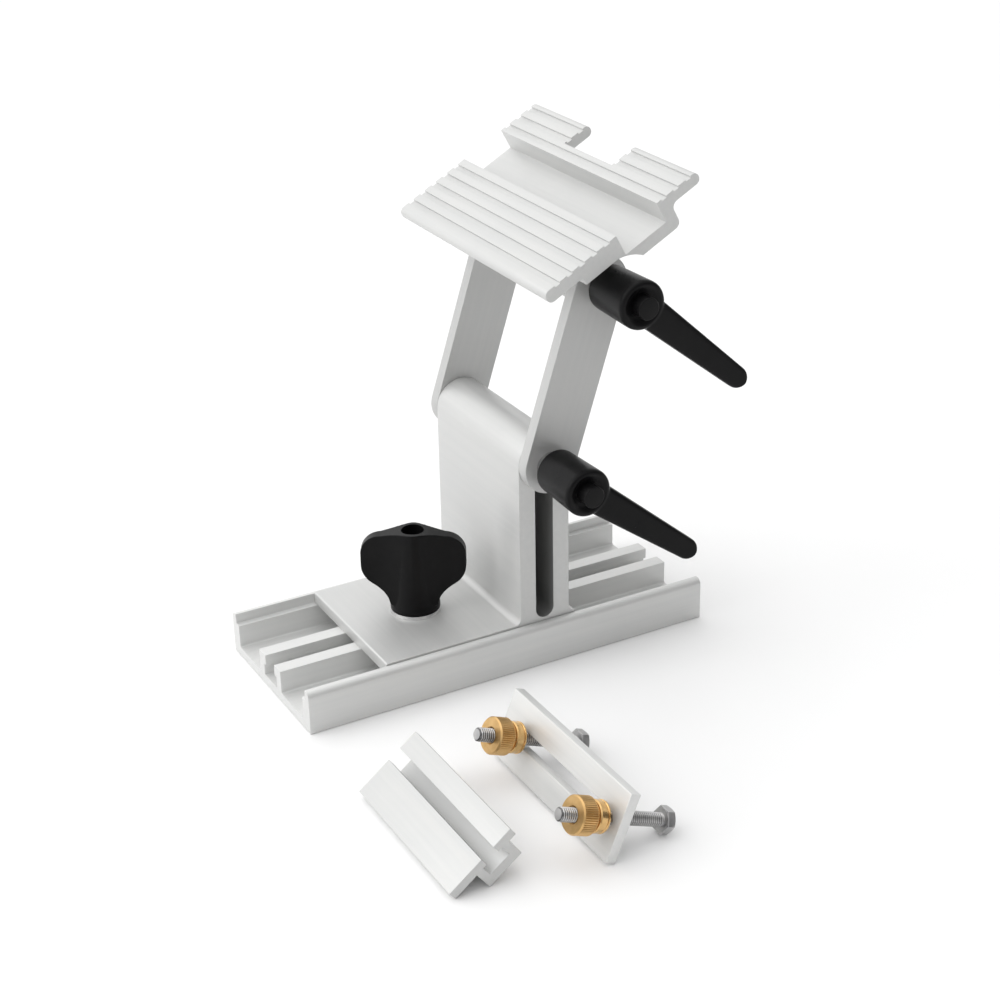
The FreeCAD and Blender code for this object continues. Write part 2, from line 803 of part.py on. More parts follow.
def make_tool_table():
    """Extruded table with grooved faces, a square channel, a wheel notch and a pivot lug."""
    turn = FreeCAD.Rotation(Y_AXIS, -DIMENSIONS["table_tilt"])
    body = new_body("tool_table", FreeCAD.Placement(upper_pivot, turn))
    near, far, top = dim("table_near"), dim("table_far"), dim("table_top")
    block_near, block_low = dim("block_near"), dim("block_underside")
    radius, channel_low = dim("clearance_radius"), dim("channel_underside")
    section = new_sketch(body, "XZ_Plane", "table_section")
    steps = [
        (near, dim("table_underside")),
        (block_near, dim("table_underside")),
        (block_near, block_low),
        (circle_reach(radius, block_low), block_low),
        (circle_reach(radius, channel_low), channel_low, -radius),
        (dim("channel_outside"), channel_low),
        (dim("channel_outside"), dim("far_underside")),
        (far, dim("far_underside")),
        (far, top),
        *groove_steps(dim("first_far_groove"), 3),
        (dim("channel_far"), top),
        (dim("channel_far"), dim("channel_floor")),
        (dim("channel_near"), dim("channel_floor")),
        (dim("channel_near"), top),
        *groove_steps(dim("first_near_groove"), 5),
        (near, top),
    ]
    draw_outline(section, steps)
    pad(body, section, dim("table_length"), midplane=True)
    step_corner = [(block_near.number, 0, DIMENSIONS["table_underside"])]
    round_edges(body, "table_step_fillet", Y_AXIS, step_corner, dim("block_fillet"))
    outside, underside = dim("channel_outside").number, dim("channel_underside").number
    round_edges(
        body,
        "table_corner_round",
        Y_AXIS,
        [(outside, 0, underside), (outside, 0, dim("far_underside").number)],
        dim("channel_corner_round"),
    )
    round_edges(
        body,
        "table_edge_rounds",
        Y_AXIS,
        [
            (near.number, 0, top.number),
            (near.number, 0, dim("table_underside").number),
            (far.number, 0, top.number),
            (far.number, 0, dim("far_underside").number),
        ],
        dim("table_edge_round"),
    )
    lug = new_sketch(body, "XZ_Plane", "table_lug")
    side, overlap, rise = dim("lug_radius"), dim("lug_overlap"), dim("lug_rise")
    draw_outline(
        lug,
        [
            (side, as_size(0), side),
            (dim("lug_toe"), channel_low + overlap),
            (dim("lug_waist"), dim("channel_floor") - overlap),
            (dim("lug_heel"), block_low + rise),
            (block_near + overlap, block_low + rise),
            (-side, as_size(0)),
        ],
    )
    pad(body, lug, dim("carriage_width"), midplane=True)
    bore = new_sketch(body, "XZ_Plane", "table_bore")
    draw_circle(bore, 0, 0, dim("pivot_hole") / 2)
    pocket(body, bore, midplane=True)
    notch = new_sketch(body, "XY_Plane", "wheel_notch")
    half = dim("notch_half")
    draw_outline(
        notch,
        [
            (dim("notch_start"), -half),
            (far + 2, -half),
            (far + 2, half),
            (dim("notch_start"), half),
        ],
    )
    pocket(body, notch, midplane=True)
    return body


# ---------------------------------------------------------------- loose slide guide
def guide_placement():
    """The guide rests on its wide flange's lower edge and its tongue's lower corner."""
    roll = math.degrees(math.atan2(DIMENSIONS["tongue_depth"], DIMENSIONS["tongue_left"]))
    place = Vector(DIMENSIONS["guide_left"], DIMENSIONS["guide_back"], 0)
    return FreeCAD.Placement(place, FreeCAD.Rotation(Y_AXIS, -roll))


def make_slide_guide():
    """T-section runner: flanges, a tongue for the table's channel, and its own T-slot."""
    body = new_body("slide_guide", guide_placement())
    flange, width = dim("guide_flange"), dim("guide_width")
    left, right = dim("tongue_left"), dim("tongue_left") + dim("tongue_width")
    depth = dim("tongue_depth")
    slot_left, cavity_left = dim("guide_slot_left"), dim("guide_cavity_left")
    slot_right = slot_left + dim("guide_slot_width")
    cavity_right = cavity_left + dim("guide_cavity_width")
    lip, floor = flange - dim("guide_lip"), flange - dim("guide_cavity_floor")
    section = new_sketch(body, "XZ_Plane", "guide_section")
    draw_outline(
        section,
        [
            (as_size(0), as_size(0)),
            (left, as_size(0)),
            (left, -depth),
            (right, -depth),
            (right, as_size(0)),
            (width, as_size(0)),
            (width, flange),
            (slot_right, flange),
            (slot_right, lip),
            (cavity_right, lip),
            (cavity_right, floor),
            (cavity_left, floor),
            (cavity_left, lip),
            (slot_left, lip),
            (slot_left, flange),
            (as_size(0), flange),
        ],
    )
    pad(body, section, dim("guide_length"))
    return body


# ---------------------------------------------------------------- loose tool clamp
def clamp_placement():
    """The clamp's frame: X back through the plate, -Y along it, Z up it."""
    place = Vector(DIMENSIONS["clamp_left"], DIMENSIONS["clamp_back"], 0)
    return FreeCAD.Placement(place, FreeCAD.Rotation(Y_AXIS, DIMENSIONS["clamp_lean"]))


def make_clamp_plate():
    """Flat bar with one long round-ended slot for both bolts."""
    body = new_body("clamp_plate", clamp_placement())
    length, width = dim("clamp_length"), dim("clamp_width")
    outline = new_sketch(body, "YZ_Plane", "clamp_outline")
    draw_outline(
        outline,
        [
            (as_size(0), as_size(0)),
            (as_size(0), width),
            (-length, width),
            (-length, as_size(0)),
        ],
    )
    pad(body, outline, dim("clamp_thick"), reverse=True)
    half, level = dim("clamp_slot") / 2, dim("clamp_slot_height")
    start, end = dim("clamp_slot_margin") + half, length - dim("clamp_slot_margin") - half
    slot = new_sketch(body, "YZ_Plane", "clamp_slot_outline")
    draw_outline(
        slot,
        [
            (-start, level - half),
            (-start, level + half, half),
            (-end, level + half),
            (-end, level - half, half),
        ],
    )
    pocket(body, slot, midplane=True)
    return body


def make_clamp_bolt(label, along):
    """Hexagon bolt through the clamp's slot, its head behind the plate, a flat face down."""
    place = Vector(DIMENSIONS["clamp_head_place"], -along, DIMENSIONS["clamp_bolt_height"])
    shank = cylinder(
        f"{label}_shank", dim("clamp_thread_radius"), dim("clamp_bolt_length"), place, -X_AXIS
    )
    head = hexagon(
        f"{label}_head",
        dim("clamp_head_flats"),
        dim("clamp_head_height"),
        place,
        X_AXIS,
        turn=30.0,
    )
    return place_last(join(label, [shank, head]), clamp_placement())


def make_clamp_nut(label, along):
    """Brass thumb nut: a wide knurled head, a groove and a collar that faces the plate."""
    head, neck = dim("nut_head_length"), dim("nut_neck_length")
    front, back = dim("nut_front"), dim("nut_back")
    def at(depth):
        return Vector(-depth.number, -along, DIMENSIONS["clamp_bolt_height"])

    rings = [
        cylinder(f"{label}_knurl", dim("nut_head_radius"), head, at(front), X_AXIS),
        cylinder(f"{label}_neck", dim("nut_neck_radius"), front - back, at(front), X_AXIS),
        cylinder(
            f"{label}_collar",
            dim("nut_collar_radius"),
            front - back - head - neck,
            at(front - head - neck),
            X_AXIS,
        ),
    ]
    bore = cylinder(f"{label}_bore", dim("nut_bore_radius"), front - back, at(front), X_AXIS)
    return place_last(drill(label, join(f"{label}_solid", rings), bore), clamp_placement())


# ---------------------------------------------------------------- the whole object
subparts = [make_base_rail(), make_carriage()]
subparts += [make_arm("front_arm", -1), make_arm("back_arm", 1)]
subparts += [
    make_rail_bolt(),
    make_washer(
        "knob_washer",
        dim("knob_washer"),
        dim("bolt_hole"),
        dim("knob_washer_thick"),
        Vector(DIMENSIONS["knob_place"], 0, DIMENSIONS["plate_top"]),
        Z_AXIS,
    ),
    make_wing_knob(),
    make_knob_insert(),
    make_tool_table(),
]
for level, pivot in (("lower", lower_pivot), ("upper", upper_pivot)):
    angle = DIMENSIONS[f"{level}_lever_angle"]
    subparts += [
        make_pivot_bolt(f"{level}_pivot_bolt", pivot),
        make_washer(
            f"{level}_back_washer",
            dim("pivot_washer"),
            dim("bolt_hole"),
            dim("pivot_washer_thick"),
            Vector(pivot.x, (arm_outside + dim("face_gap")).number, pivot.z),
            Y_AXIS,
        ),
        make_lever_insert(f"{level}_lever_insert", pivot),
        make_lever_handle(f"{level}_lever_handle", pivot, angle),
        make_lever_button(f"{level}_lever_button", pivot),
        make_lever_spring(f"{level}_lever_spring", pivot),
    ]
subparts += [make_slide_guide(), make_clamp_plate()]
for end in ("back", "front"):
    place_along = DIMENSIONS[f"{end}_bolt_place"]
    subparts += [
        make_clamp_bolt(f"clamp_bolt_{end}", place_along),
        make_clamp_nut(f"clamp_nut_{end}", place_along),
    ]
doc.recompute()

# ---------------------------------------------------------------- checks and export
for thing in doc.Objects:
    if "Invalid" in thing.State or "Error" in thing.State:
        raise ValueError(f"{thing.Name} failed: {thing.State}")
for subpart in subparts:
    if subpart.Shape.isNull() or not subpart.Shape.isValid():
        raise ValueError(f"{subpart.Label} has no valid shape")
    if len(subpart.Shape.Solids) != 1:
        raise ValueError(f"{subpart.Label} has {len(subpart.Shape.Solids)} solids")
for subpart in subparts:
    subpart.Shape.exportStep(f"parts/{subpart.Label}.step")
    box = subpart.Shape.BoundBox
    print(
        f"{subpart.Label:22s} x {box.XMin:8.2f} {box.XMax:8.2f}  y {box.YMin:8.2f} {box.YMax:8.2f}"
        f"  z {box.ZMin:8.2f} {box.ZMax:8.2f}  volume {subpart.Shape.Volume:10.1f}"
    )
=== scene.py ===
"""Looks of the bench-grinder tool rest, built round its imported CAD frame.

Metres, +Z up, X along the base rail, -Y towards the clamping levers. Sizes are in
millimetres in the code and are scaled by MM where a mesh is made.
"""
import json
import math

import bmesh
import bpy
from mathutils import Euler, Matrix, Vector


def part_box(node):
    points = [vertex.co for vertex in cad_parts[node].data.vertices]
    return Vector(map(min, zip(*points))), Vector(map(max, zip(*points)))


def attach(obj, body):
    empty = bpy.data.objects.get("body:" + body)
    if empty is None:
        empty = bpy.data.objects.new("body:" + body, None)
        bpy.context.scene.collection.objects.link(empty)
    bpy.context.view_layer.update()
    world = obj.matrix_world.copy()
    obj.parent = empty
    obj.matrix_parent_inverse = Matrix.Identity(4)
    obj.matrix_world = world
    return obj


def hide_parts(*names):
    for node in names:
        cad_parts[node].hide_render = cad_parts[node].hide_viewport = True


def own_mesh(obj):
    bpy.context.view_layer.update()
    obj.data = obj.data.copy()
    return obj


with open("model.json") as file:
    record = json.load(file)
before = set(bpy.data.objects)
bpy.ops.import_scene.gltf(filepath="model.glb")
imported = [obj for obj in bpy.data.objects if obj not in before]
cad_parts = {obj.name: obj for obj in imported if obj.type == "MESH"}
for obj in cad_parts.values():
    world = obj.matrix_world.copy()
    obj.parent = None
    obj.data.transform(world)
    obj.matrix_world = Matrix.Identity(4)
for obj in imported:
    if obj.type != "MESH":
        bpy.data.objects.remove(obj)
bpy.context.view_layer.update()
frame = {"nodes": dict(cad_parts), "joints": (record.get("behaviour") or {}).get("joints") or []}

MM = 0.001
TAU = 2 * math.pi
Y_AXIS, Z_AXIS = Vector((0, 1, 0)), Vector((0, 0, 1))


# ---------------------------------------------------------------- places from the frame
def joint(name):
    """A joint's record by name."""
    return next(j for j in frame["joints"] if j["name"] == name)


LOWER_PIVOT = Vector(joint("arm_swing")["pos_m"]) / MM
UPPER_PIVOT = Vector(joint("table_tilt")["pos_m"]) / MM
KNOB_AXIS = Vector(joint("knob_turn")["pos_m"]) / MM
ARM_LEAN = math.atan2(UPPER_PIVOT.x - LOWER_PIVOT.x, UPPER_PIVOT.z - LOWER_PIVOT.z)


# ---------------------------------------------------------------- node materials
NOISE_LOW, NOISE_HIGH = 0.3, 0.7  # the part of a noise's range that carries its pattern


class Nodes:
    """Short calls for one material's node tree."""

    def __init__(self, name):
        self.material = bpy.data.materials.new(name)
        self.material.use_nodes = True
        self.tree = self.material.node_tree
        self.tree.nodes.clear()
        self.output = self.add("ShaderNodeOutputMaterial")
        self.shader = self.add("ShaderNodeBsdfPrincipled")
        self.link(self.shader.outputs["BSDF"], self.output.inputs["Surface"])
        self.place = self.add("ShaderNodeTexCoord").outputs["Object"]

    def add(self, kind, **values):
        node = self.tree.nodes.new(kind)
        for key, value in values.items():
            setattr(node, key, value)
        return node

    def link(self, source, target):
        self.tree.links.new(source, target)

    def set(self, name, value):
        self.shader.inputs[name].default_value = value

    def stretched(self, scale, turn=0.0):
        """Object coordinates turned about Y, then scaled along each axis."""
        turned = self.add("ShaderNodeVectorRotate", rotation_type="Y_AXIS")
        turned.inputs["Angle"].default_value = turn
        self.link(self.place, turned.inputs["Vector"])
        mapping = self.add("ShaderNodeMapping")
        mapping.inputs["Scale"].default_value = scale
        self.link(turned.outputs["Vector"], mapping.inputs["Vector"])
        return mapping.outputs["Vector"]

    def noise(self, vector, scale=1.0, detail=3.0, roughness=0.55):
        node = self.add("ShaderNodeTexNoise")
        node.inputs["Scale"].default_value = scale
        node.inputs["Detail"].default_value = detail
        node.inputs["Roughness"].default_value = roughness
        self.link(vector, node.inputs["Vector"])
        return node.outputs["Fac"]

    def ranged(self, source, low, high):
        """The middle of a noise's 0 to 1 signal, as a number from low to high."""
        node = self.add("ShaderNodeMapRange")
        node.inputs["From Min"].default_value = NOISE_LOW
        node.inputs["From Max"].default_value = NOISE_HIGH
        node.inputs["To Min"].default_value = low
        node.inputs["To Max"].default_value = high
        self.link(source, node.inputs["Value"])
        return node.outputs["Result"]

    def added(self, first, second):
        node = self.add("ShaderNodeMath", operation="ADD")
        self.link(first, node.inputs[0])
        self.link(second, node.inputs[1])
        return node.outputs["Value"]

    def mixed(self, factor, first, second):
        node = self.add("ShaderNodeMix", data_type="RGBA")
        self.link(factor, node.inputs["Factor"])
        node.inputs["A"].default_value = (*first, 1)
        node.inputs["B"].default_value = (*second, 1)
        return node.outputs["Result"]

    def bumped(self, height, strength, distance, under=None):
        node = self.add("ShaderNodeBump")
        node.inputs["Strength"].default_value = strength
        node.inputs["Distance"].default_value = distance
        self.link(height, node.inputs["Height"])
        if under is not None:
            self.link(under, node.inputs["Normal"])
        return node.outputs["Normal"]

    def finish(self, color, roughness, normal):
        self.link(color, self.shader.inputs["Base Color"])
        self.link(roughness, self.shader.inputs["Roughness"])
        self.link(normal, self.shader.inputs["Normal"])
        return self.material


def aluminium(name, drawn_along, turn=0.0, tone=1.0):
    """Satin anodised extrusion: fine drawn grain, soft patches and a powdery micro-grain."""
    nodes = Nodes(name)
    nodes.set("Metallic", 0.38)
    nodes.set("IOR", 1.5)
    # noise cells per metre, across the drawn lines and then along them
    line_cells, line_run, streak_cells, streak_run = 2600.0, 26.0, 420.0, 10.4
    grain = [line_run if axis == drawn_along else line_cells for axis in "XYZ"]
    streak = [streak_run if axis == drawn_along else streak_cells for axis in "XYZ"]
    fine_lines = nodes.noise(nodes.stretched(grain, turn), detail=2.0)
    broad_lines = nodes.noise(nodes.stretched(streak, turn), detail=4.0)
    patches = nodes.noise(nodes.place, scale=38.0, detail=4.0)
    powder = nodes.noise(nodes.place, scale=5200.0, detail=1.0)
    light = [0.62 * tone, 0.62 * tone, 0.61 * tone]
    dark = [0.56 * tone, 0.565 * tone, 0.56 * tone]
    shade = nodes.added(nodes.ranged(broad_lines, 0.0, 0.6), nodes.ranged(patches, 0.0, 0.4))
    color = nodes.mixed(shade, dark, light)
    roughness = nodes.added(
        nodes.ranged(broad_lines, 0.42, 0.50), nodes.ranged(patches, -0.03, 0.05)
    )
    normal = nodes.bumped(fine_lines, strength=0.16, distance=0.00006)
    normal = nodes.bumped(powder, strength=0.05, distance=0.00004, under=normal)
    return nodes.finish(color, roughness, normal)


def plated_steel(name, tone=1.0, marked=0.12):
    """Bright zinc plating: slightly cloudy, with turning marks of a given strength."""
    nodes = Nodes(name)
    nodes.set("Metallic", 1.0)
    clouds = nodes.noise(nodes.place, scale=260.0, detail=4.0)
    marks = nodes.noise(nodes.place, scale=2400.0, detail=2.0)
    dark = (0.52 * tone, 0.52 * tone, 0.53 * tone)
    light = (0.70 * tone, 0.69 * tone, 0.68 * tone)
    color = nodes.mixed(nodes.ranged(clouds, 0.0, 1.0), dark, light)
    roughness = nodes.ranged(clouds, 0.28, 0.40)
    normal = nodes.bumped(marks, strength=marked, distance=0.00005)
    return nodes.finish(color, roughness, normal)


def turned_brass(name, smoothest, roughest):
    """Machined brass: cloudy in colour, with fine turning marks in its gloss."""
    nodes = Nodes(name)
    nodes.set("Metallic", 0.9)
    clouds = nodes.noise(nodes.place, scale=210.0, detail=5.0)
    marks = nodes.noise(nodes.place, scale=3200.0, detail=2.0)
    dark, light = (0.60, 0.37, 0.145), (0.74, 0.49, 0.22)
    color = nodes.mixed(nodes.ranged(clouds, 0.0, 1.0), dark, light)
    roughness = nodes.ranged(marks, smoothest, roughest)
    normal = nodes.bumped(marks, strength=0.10, distance=0.00005)
    return nodes.finish(color, roughness, normal)


def moulded_plastic(name):
    """Black moulded nylon: fine spark-eroded grain, with polish where hands rub it."""
    nodes = Nodes(name)
    nodes.set("Specular IOR Level", 0.13)
    grain = nodes.noise(nodes.place, scale=2300.0, detail=3.0, roughness=0.65)
    rubbed = nodes.noise(nodes.place, scale=70.0, detail=3.0)
    dark, light = (0.0032, 0.0032, 0.0036), (0.0065, 0.0063, 0.0066)
    color = nodes.mixed(nodes.ranged(rubbed, 0.0, 1.0), dark, light)
    roughness = nodes.added(nodes.ranged(rubbed, 0.28, 0.38), nodes.ranged(grain, -0.04, 0.06))
    normal = nodes.bumped(grain, strength=0.30, distance=0.00006)
    return nodes.finish(color, roughness, normal)


def studio_floor():
    """Matt white paper sweep with the faintest mottling."""
    nodes = Nodes("studio_floor")
    nodes.set("Specular IOR Level", 0.0)
    mottle = nodes.noise(nodes.place, scale=9.0, detail=3.0)
    dark, light = (0.94, 0.94, 0.94), (0.955, 0.955, 0.955)
    color = nodes.mixed(nodes.ranged(mottle, 0.0, 1.0), dark, light)
    roughness = nodes.ranged(mottle, 0.85, 0.95)
    normal = nodes.bumped(mottle, strength=0.02, distance=0.0002)
    return nodes.finish(color, roughness, normal)


# Tones per part stand in for light: the rail and the clamp plate are painted lighter, and the arms
# painted darker, than the plate's aluminium.
RAIL_METAL_LIT = aluminium("aluminium_drawn_x_painted_light", "X", tone=1.14)
PLATE_METAL = aluminium("aluminium_drawn_y", "Y", tone=1.03)
CLAMP_METAL_LIT = aluminium("aluminium_clamp_painted_light", "Y", tone=1.28)
ARM_METAL_SHADED = aluminium("aluminium_arms_painted_shade", "Z", turn=-ARM_LEAN, tone=0.88)
# a much darker copy of the aluminium: painted shade inside the upright's slot
SLOT_SHADE_METAL = aluminium("aluminium_slot_walls_painted_shade", "Z", tone=0.42)
STEEL = plated_steel("zinc_plated_steel", tone=0.84)
STEEL_ROOT_SHADE = plated_steel("zinc_plated_thread_root_painted_shade", tone=0.22)
# Painted highlight: the knob's washer takes a much lighter copy of the plated steel.
WASHER_STEEL_LIT = plated_steel("zinc_plated_washer_painted_light", tone=1.25, marked=0.02)
BRASS_SATIN = turned_brass("brass_satin", 0.30, 0.42)
BRASS_BRIGHT = turned_brass("brass_bright", 0.14, 0.24)
PLASTIC = moulded_plastic("black_plastic")


# ---------------------------------------------------------------- mesh helpers
WIDE_FACE = 12  # corners, above which a face counts as one flat surface
# degrees, the bends that show as crisp edges: at a wide face, and on each kind of piece
FLAT_SHARP, NUT_SHARP, BOLT_SHARP, COIL_SHARP, MOULDED_SHARP, DRESSED_SHARP = 4, 24, 28, 32, 40, 50
TINY = 1e-6  # millimetres, below which a length counts as nothing
ROUND_SHARE = 0.48  # the most of a straight run that one rounded corner takes


def rounded(points, radii, steps=3):
    """An open outline with each inner corner rounded off, one radius for each."""
    out = [points[0]]
    for k, radius in enumerate(radii, start=1):
        here = Vector(points[k])
        back, ahead = Vector(points[k - 1]) - here, Vector(points[k + 1]) - here
        reach = min(radius, back.length * ROUND_SHARE, ahead.length * ROUND_SHARE)
        if reach < TINY:
            out.append(tuple(here))
            continue
        first, last = here + back.normalized() * reach, here + ahead.normalized() * reach
        for step in range(steps + 1):
            t = step / steps
            point = first * (1 - t) ** 2 + here * (2 * t * (1 - t)) + last * t**2
            out.append(tuple(point))
    return out + [points[-1]]


def on_circle(radius, angle, height):
    """A point round the Z axis, from millimetres to metres."""
    return (radius * math.cos(angle) * MM, radius * math.sin(angle) * MM, height * MM)


def lathe(outline, segments, ripple=None):
    """A closed solid turned about Z from (radius, height) points, axis to axis or as a ring."""
    bm = bmesh.new()
    rings = []
    for radius, height in outline:
        if radius < TINY:
            rings.append([bm.verts.new((0, 0, height * MM))])
            continue
        ring = []
        for k in range(segments):
            angle = TAU * k / segments
            size = ripple(radius, height, angle) if ripple else radius
            ring.append(bm.verts.new(on_circle(size, angle, height)))
        rings.append(ring)
    closed = len(rings[0]) > 1 and len(rings[-1]) > 1
    pairs = list(zip(rings, rings[1:])) + ([(rings[-1], rings[0])] if closed else [])
    for lower, upper in pairs:
        for k in range(segments):
            after = (k + 1) % segments
            if len(lower) == 1:
                bm.faces.new((lower[0], upper[k], upper[after]))
            elif len(upper) == 1:
                bm.faces.new((lower[k], lower[after], upper[0]))
            else:
                bm.faces.new((lower[k], lower[after], upper[after], upper[k]))
    bmesh.ops.recalc_face_normals(bm, faces=bm.faces)
    return bm


def plug(radius, low, high, segments=64):
    """A round cutter about Z between two heights."""
    return lathe([(0, low), (radius, low), (radius, high), (0, high)], segments)


def lofted(bm, rings):
    """A closed solid through rings of equal length: its sides, then its two end faces."""
    for lower, upper in zip(rings, rings[1:]):
        for k in range(len(lower)):
            after = (k + 1) % len(lower)
            bm.faces.new((lower[k], lower[after], upper[after], upper[k]))
    bm.faces.new(rings[0])
    bm.faces.new(rings[-1])
    bmesh.ops.recalc_face_normals(bm, faces=bm.faces)
    return bm


def soften(bm, sharp):
    """Smooth shading, crisp where faces meet at more than an angle or at a wide flat face."""
    limit, flat_limit = math.radians(sharp), math.radians(FLAT_SHARP)
    for face in bm.faces:
        face.smooth = True
    for edge in bm.edges:
        wide = any(len(face.verts) > WIDE_FACE for face in edge.link_faces)
        bend = edge.calc_face_angle(0.0) if len(edge.link_faces) == 2 else math.pi
        edge.smooth = bend < (flat_limit if wide else limit)


def merged(*parts):
    """Several bmeshes as one."""
    whole = bmesh.new()
    for part in parts:
        mesh = to_mesh("part", part)
        whole.from_mesh(mesh)
        bpy.data.meshes.remove(mesh)
    return whole


def in_scene(name, data):
    """A new object in the scene, for a mesh, a lamp or a camera."""
    thing = bpy.data.objects.new(name, data)
    bpy.context.scene.collection.objects.link(thing)
    return thing


def to_mesh(name, bm):
    """A mesh from a bmesh, which is used up."""
    mesh = bpy.data.meshes.new(name)
    bm.to_mesh(mesh)
    bm.free()
    return mesh


def to_piece(name, bm, body, material, nodes, sharp, place=Matrix.Identity(4)):
    """An object from a bmesh, put in place, riding on its body and standing for its nodes."""
    bm.transform(place)
    soften(bm, sharp)
    mesh = to_mesh(name, bm)
    mesh.materials.append(material)
    piece = in_scene(name, mesh)
    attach(piece, body)
    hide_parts(*nodes)
    return piece


def pointed(direction, place):
    """A matrix that turns +Z to a direction and moves to a place in millimetres."""
    turn = Z_AXIS.rotation_difference(direction).to_matrix().to_4x4()
    return Matrix.Translation(Vector(place) * MM) @ turn


def turned(degrees, axis, place):
    """A matrix that turns about an axis and moves to a place in millimetres."""
    turn = Matrix.Rotation(math.radians(degrees), 4, axis)
    return Matrix.Translation(Vector(place) * MM) @ turn


def remeshed(parts, cutters, voxel, smoothing):
    """Solids fused through a fine voxel skin, with soft inner corners, then cut clean."""
    blank = in_scene("fused", to_mesh("fused", merged(*parts)))
    skin = blank.modifiers.new("skin", "REMESH")
    skin.mode = "VOXEL"
    skin.voxel_size = voxel * MM
    smooth = blank.modifiers.new("smooth", "SMOOTH")
    smooth.factor = 0.5
    smooth.iterations = smoothing
    helpers = []
    for cutter in cutters:
        tool = in_scene("cutter", to_mesh("cutter", cutter))
        helpers.append(tool)
        cut = blank.modifiers.new("cut", "BOOLEAN")
        cut.operation = "DIFFERENCE"
        cut.solver = "EXACT"
        cut.object = tool
    bpy.context.view_layer.update()
    graph = bpy.context.evaluated_depsgraph_get()
    result = bpy.data.meshes.new_from_object(blank.evaluated_get(graph))
    bm = bmesh.new()
    bm.from_mesh(result)
    for thing in [blank, *helpers]:
        data = thing.data
        bpy.data.objects.remove(thing)
        bpy.data.meshes.remove(data)
    bpy.data.meshes.remove(result)
    return bm


# ---------------------------------------------------------------- aluminium and plain hardware
SAME_POINT = 0.002  # millimetres, within which CAD vertices are one
FLAT_ANGLE, CORNER_ANGLE = 0.2, 33  # degrees: one flat face, and an edge to break


def dressed(node, body, material, edge):
    """A CAD part with its flat faces joined up and its edges broken, as a machinist would."""
    bm = bmesh.new()
    bm.from_mesh(frame["nodes"][node].data)
    bmesh.ops.remove_doubles(bm, verts=bm.verts, dist=SAME_POINT * MM)
    flat, cornered = math.radians(FLAT_ANGLE), math.radians(CORNER_ANGLE)
    bmesh.ops.dissolve_limit(
        bm, angle_limit=flat, verts=bm.verts, edges=bm.edges, delimit={"NORMAL"}
    )
    sharp = [e for e in bm.edges if len(e.link_faces) == 2 and e.calc_face_angle(0) > cornered]
    bmesh.ops.bevel(
        bm,
        geom=sharp,
        offset=edge * MM,
        offset_type="OFFSET",
        segments=2,
        profile=0.6,
        affect="EDGES",
        clamp_overlap=True,
    )
    return to_piece(f"{node}_finished", bm, body, material, [node], DRESSED_SHARP)


SOFT_EDGE, BREAK_EDGE, FINE_EDGE = 0.45, 0.3, 0.15
SLOT_HALF, SLOT_LOW_END = 4.5, 26.1  # half the upright's slot, and the centre of its lower end
SLOT_MARGIN, ALONG_WALL = 0.1, 0.2  # millimetres past the slot, and the most a wall leans in Y

dressed("base_rail", "base", RAIL_METAL_LIT, BREAK_EDGE)
upright = dressed("carriage", "carriage", PLATE_METAL, BREAK_EDGE)
dressed("front_arm", "arms", ARM_METAL_SHADED, BREAK_EDGE)
dressed("back_arm", "arms", ARM_METAL_SHADED, BREAK_EDGE)
dressed("tool_table", "table", PLATE_METAL, FINE_EDGE)
dressed("slide_guide", "guide", PLATE_METAL, BREAK_EDGE)
dressed("clamp_plate", "clamp", CLAMP_METAL_LIT, SOFT_EDGE)
dressed("knob_washer", "carriage", WASHER_STEEL_LIT, FINE_EDGE)
dressed("lower_back_washer", "pivot", STEEL, FINE_EDGE)
dressed("upper_back_washer", "arms", STEEL, FINE_EDGE)
dressed("lower_lever_insert", "lower_hub", STEEL, FINE_EDGE)
dressed("upper_lever_insert", "upper_hub", STEEL, FINE_EDGE)
dressed("knob_insert", "knob", BRASS_SATIN, FINE_EDGE)

# Painted shade: the walls inside the upright's slot take a much darker copy of the aluminium.
upright.data.materials.append(SLOT_SHADE_METAL)
for face in upright.data.polygons:
    across, level = face.center.x / MM - LOWER_PIVOT.x, face.center.z / MM
    past_end = max(level - LOWER_PIVOT.z, SLOT_LOW_END - level, 0)
    in_slot = math.hypot(across, past_end) < SLOT_HALF + SLOT_MARGIN
    if in_slot and abs(face.normal.y) < ALONG_WALL:
        face.material_index = 1


# ---------------------------------------------------------------- bolts
THREAD_DEPTH = 0.56  # of the pitch
ROOT_SHARE = 0.5  # of the depth, below which a thread's root is painted in shade
FLANK_STEEPNESS = 1.35  # over 1 leaves a flat crest between two grooves
TIP_DEPTH, TIP_SLOPE = 1.25, 1.1  # the tip's bevel: its depth in thread depths, and its slope
BURIED = 0.4  # millimetres of shank inside the head
SHANK_SEGMENTS, ROWS_PER_PITCH, PLAIN_ROWS = 40, 8, 4
HEX_TURN = TAU / 12  # half of one flat's angle

# half the thread's width, its pitch, and the head's width over its flats and height
M8 = {"radius": 4.0, "pitch": 1.25, "flats": 13.0, "head": 5.3}
M6 = {"radius": 2.95, "pitch": 1.0, "flats": 10.0, "head": 4.0}


def thread_ripple(pitch, depth, start, end):
    """Radius of a screw thread: a helical groove that fades out, and a bevelled tip."""

    def ripple(radius, height, angle):
        turn = (height / pitch - angle / TAU) % 1.0
        groove = 1 - min(abs(2 * turn - 1) * FLANK_STEEPNESS, 1.0)
        fade = min(max((height - start) / pitch, 0.0), 1.0)
        size = radius - depth * groove * fade
        bevel = radius - depth * TIP_DEPTH + max(end - height, 0.0) * TIP_SLOPE
        return min(size, bevel)

    return ripple


